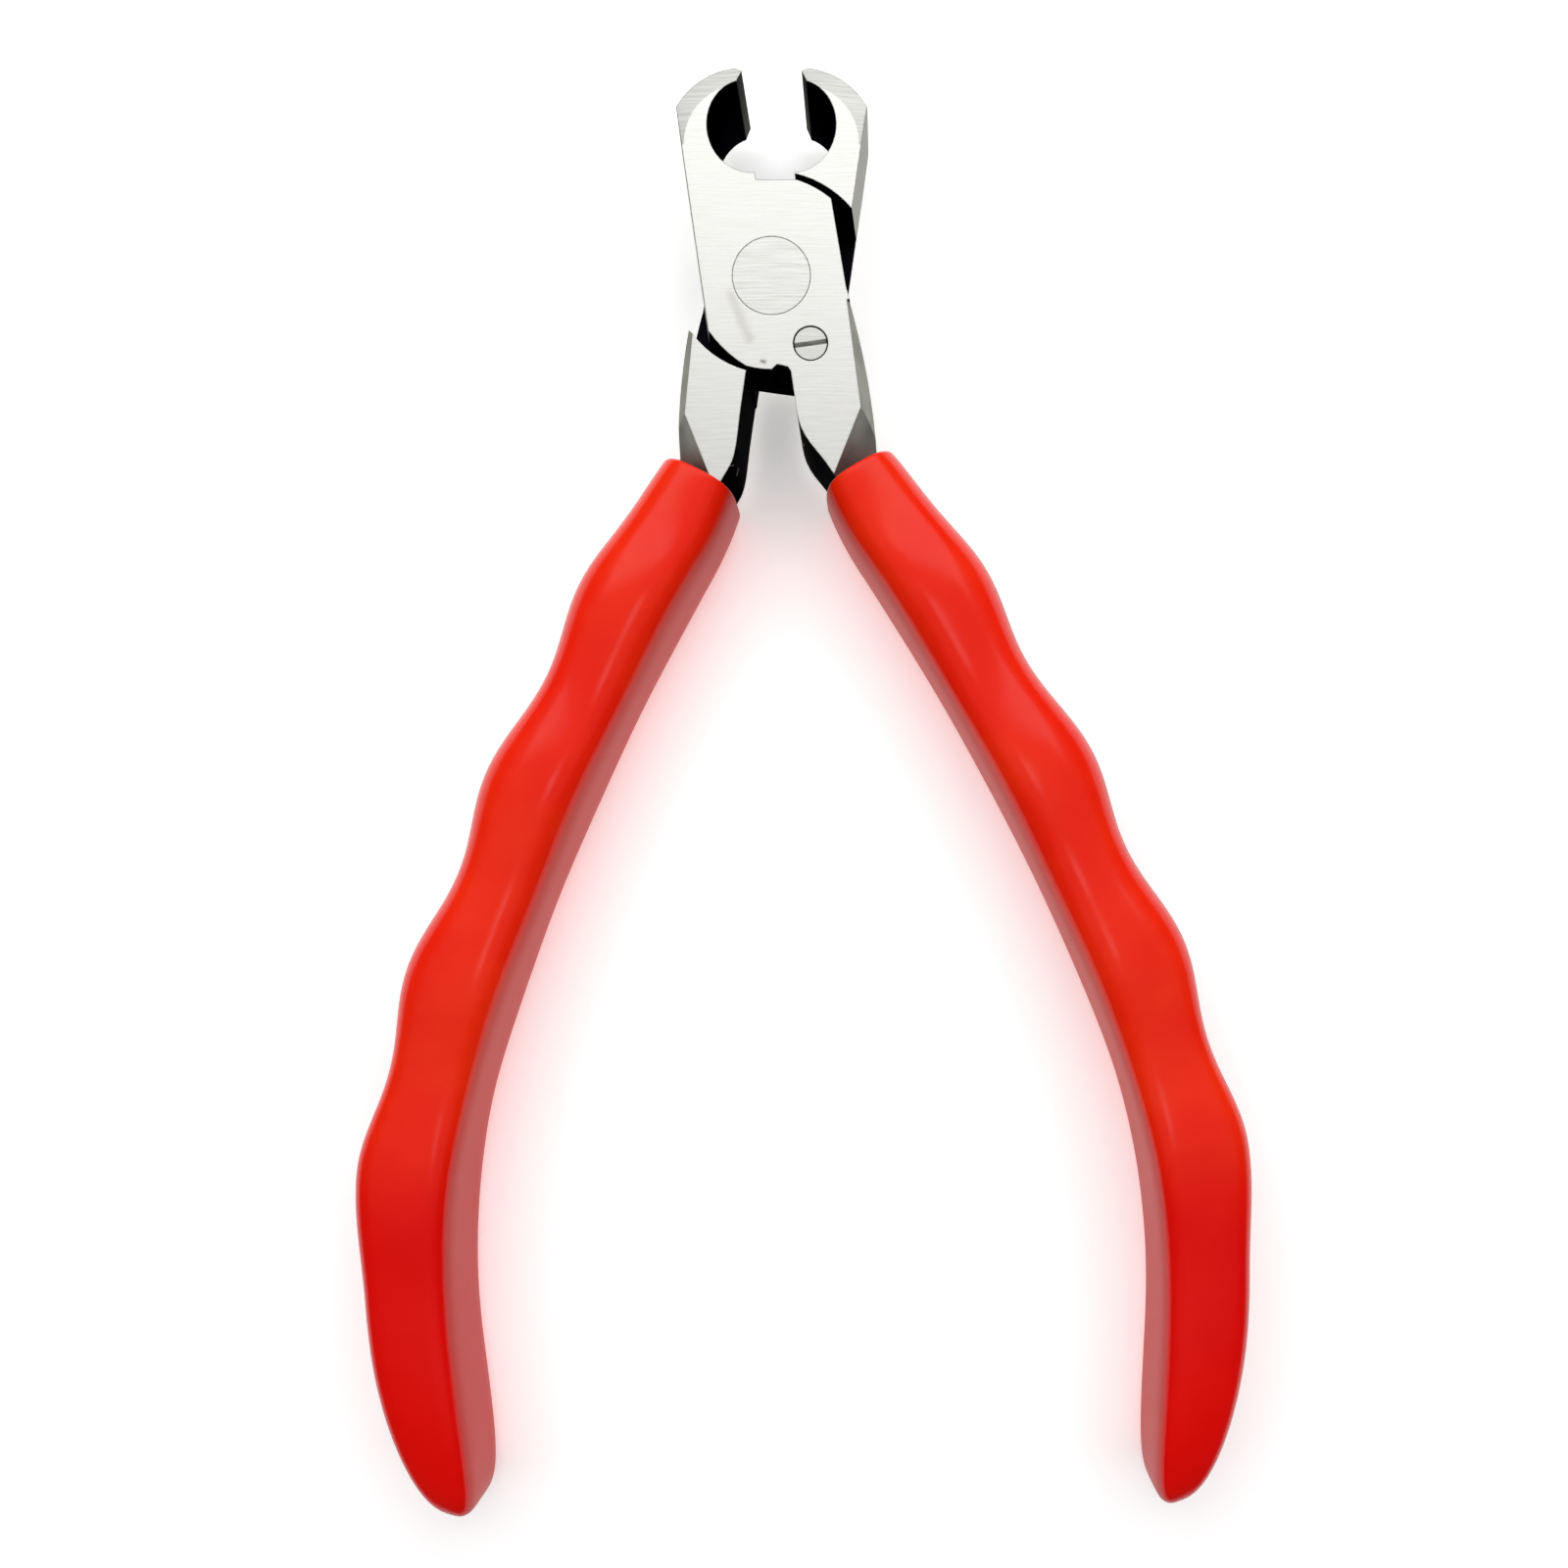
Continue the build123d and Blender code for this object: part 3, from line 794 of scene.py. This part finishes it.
    def build(self, material: bpy.types.Material) -> bpy.types.Object:
        """Builds the sleeve and puts it on its body.

        Args:
            material: Vinyl that covers it.

        Returns:
            The sleeve.
        """
        rings = self.mouth_rings()
        start = self.mouth + self.skin_start
        for index in range(self.rings_along + 1):
            rings.append(self.ring(start + (self.tip_start - start) * index / self.rings_along, 0.0))
        for degrees in range(self.tip_step_degrees, 90, self.tip_step_degrees):
            turn = math.radians(degrees)
            along = self.tip_start + (self.tip - self.tip_start) * math.sin(turn)
            rings.append(self.ring(along, 0.0, math.cos(turn) ** self.tip_bluntness))
        rings.append([self.place(self.tip, self.bow(self.tip), 0.0)])
        return self.skin(rings, material)

    def skin(self, rings: list[list[Vector]], material: bpy.types.Material) -> bpy.types.Object:
        """Joins the rings into one smooth mesh piece.

        Args:
            rings: Rings from the mouth on, the last one a single point.
            material: Vinyl that covers the piece.

        Returns:
            The piece, riding on its body.
        """
        points = [point for ring in rings for point in ring]
        faces = []
        for index in range(len(rings) - 2):
            first = index * self.segments
            for step in range(self.segments):
                low, high = first + step, first + (step + 1) % self.segments
                faces.append((low, high, high + self.segments, low + self.segments))
        last = (len(rings) - 2) * self.segments
        for step in range(self.segments):
            faces.append((last + step, last + (step + 1) % self.segments, len(points) - 1))
        if self.side is Side.RIGHT:
            faces = [tuple(reversed(face)) for face in faces]
        mesh = bpy.data.meshes.new(self.node + "_skin")
        mesh.from_pydata(points, [], faces)
        mesh.materials.append(material)
        mesh.shade_smooth()
        piece = bpy.data.objects.new(self.node + "_sleeve", mesh)
        bpy.context.scene.collection.objects.link(piece)
        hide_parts(self.node)
        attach(piece, self.body)
        return piece


@dataclass
class Steelwork:
    """The levers, rivet, screw and spring, which keep their own shapes."""

    nodes: dict

    def dress(self, node: str, material: bpy.types.Material) -> None:
        """Gives a node its finish.

        Args:
            node: Name of the node.
            material: Finish that covers it.
        """
        for slot in self.nodes[node].material_slots:
            slot.material = material
        LOG.info("dressed %s with %s", node, material.name)

    def build(self) -> None:
        """Dresses every steel node."""
        brushing = Brushing()
        lever = GroundSteel("ground_and_blackened_forged_steel", brushing).build()
        self.dress("front_lever", lever)
        self.dress("back_lever", lever)
        self.dress("pivot_rivet", TurnedSteel("ground_rivet_steel", brushing).build())
        self.dress("stop_screw", TurnedSteel("ground_screw_steel", brushing, bright="#F2F2EE").build())
        wire = TurnedSteel("drawn_spring_wire", brushing, bright="#9A9A9C", dull="#77777A")
        self.dress("opening_spring", wire.build())


@dataclass(frozen=True)
class Lamp:
    """Soft rectangular lamp: place in metres, turn in degrees, size in metres, power in watts."""

    name: str
    place: tuple[float, float, float]
    turn: tuple[float, float, float]
    size: tuple[float, float]
    power: float
    in_reflections: bool

    def build(self) -> None:
        """Adds the lamp to the scene."""
        data = bpy.data.lights.new(self.name, "AREA")
        data.shape = "RECTANGLE"
        data.size, data.size_y = self.size
        data.energy = self.power
        lamp = bpy.data.objects.new(self.name, data)
        turned = Euler([math.radians(angle) for angle in self.turn]).to_matrix().to_4x4()
        lamp.matrix_world = Matrix.Translation(self.place) @ turned
        lamp.visible_glossy = self.in_reflections
        bpy.context.scene.collection.objects.link(lamp)


# A softbox beyond the head, a wide fill and a small lamp overhead
LAMPS = (
    Lamp("head_softbox", (0.0, 0.3, 0.385), (-38, 0, 0), (0.6, 0.42), 1.16, True),
    Lamp("fill", (0, 0.1, 0.36), (0, 0, 0), (0.9, 0.6), 1.9, False),
    Lamp("overhead", (0.005, -0.05, 0.5), (0, 0, 0), (0.08, 0.08), 0.05, True),
)


@dataclass
class Studio:
    """Floor, lights and camera."""

    floor_height: float
    floor_half_size: float = 1.5
    air_colour: str = "#FFFFFF"
    air_strength: float = 0.08
    camera_place: tuple[float, float, float] = (9.2 * MM, -55.7 * MM, 138.5 * MM)
    sensor_width: float = 36.0
    lens: float = 33.94
    nearest: float = 0.001
    shift: tuple[float, float] = (-0.0594, 0.0844)

    def floor(self) -> None:
        """Lays a wide pale floor just under the object."""
        size = self.floor_half_size
        corners = [(-size, -size), (size, -size), (size, size), (-size, size)]
        points = [(x, y, self.floor_height) for x, y in corners]
        mesh = bpy.data.meshes.new("floor")
        mesh.from_pydata(points, [], [(0, 1, 2, 3)])
        mesh.materials.append(PaleSurface().build())
        piece = bpy.data.objects.new("floor", mesh)
        bpy.context.scene.collection.objects.link(piece)
        piece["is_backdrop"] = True

    def light(self) -> None:
        """Hangs the lamps and fills the air with a faint white light."""
        for lamp in LAMPS:
            lamp.build()
        world = bpy.data.worlds.new("studio_air")
        world.use_nodes = True
        back = world.node_tree.nodes["Background"]
        back.inputs["Color"].default_value = linear(self.air_colour)
        back.inputs["Strength"].default_value = self.air_strength
        bpy.context.scene.world = world
        bpy.context.scene.view_settings.view_transform = "Standard"

    def camera(self) -> None:
        """Sets the camera straight above, looking down, with the jaws at the top."""
        data = bpy.data.cameras.new("camera")
        data.sensor_width = self.sensor_width
        data.lens = self.lens
        data.clip_start = self.nearest
        data.shift_x, data.shift_y = self.shift
        camera = bpy.data.objects.new("camera", data)
        camera.location = self.camera_place
        bpy.context.scene.collection.objects.link(camera)
        bpy.context.scene.camera = camera

    def build(self) -> None:
        """Sets up the whole studio."""
        self.floor()
        self.light()
        self.camera()


def main() -> None:
    """Builds every piece in order."""
    logging.basicConfig(level=logging.INFO, format="%(message)s")
    model_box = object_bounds()
    Steelwork(frame["nodes"]).build()
    vinyl = DippedVinyl().build()
    for sleeve in (
        GripSleeve("front_grip", "front_half", Side.RIGHT, math.radians(18.05)),
        GripSleeve("back_grip", "back_half", Side.LEFT, math.radians(14.08), tip=112.0 * MM, fall=12.5 * MM),
    ):
        piece = sleeve.build(vinyl)
        LOG.info("built %s with %d faces", piece.name, len(piece.data.polygons))
    Studio(floor_height=model_box[0].z).build()


if __name__ == "__main__":
    main()
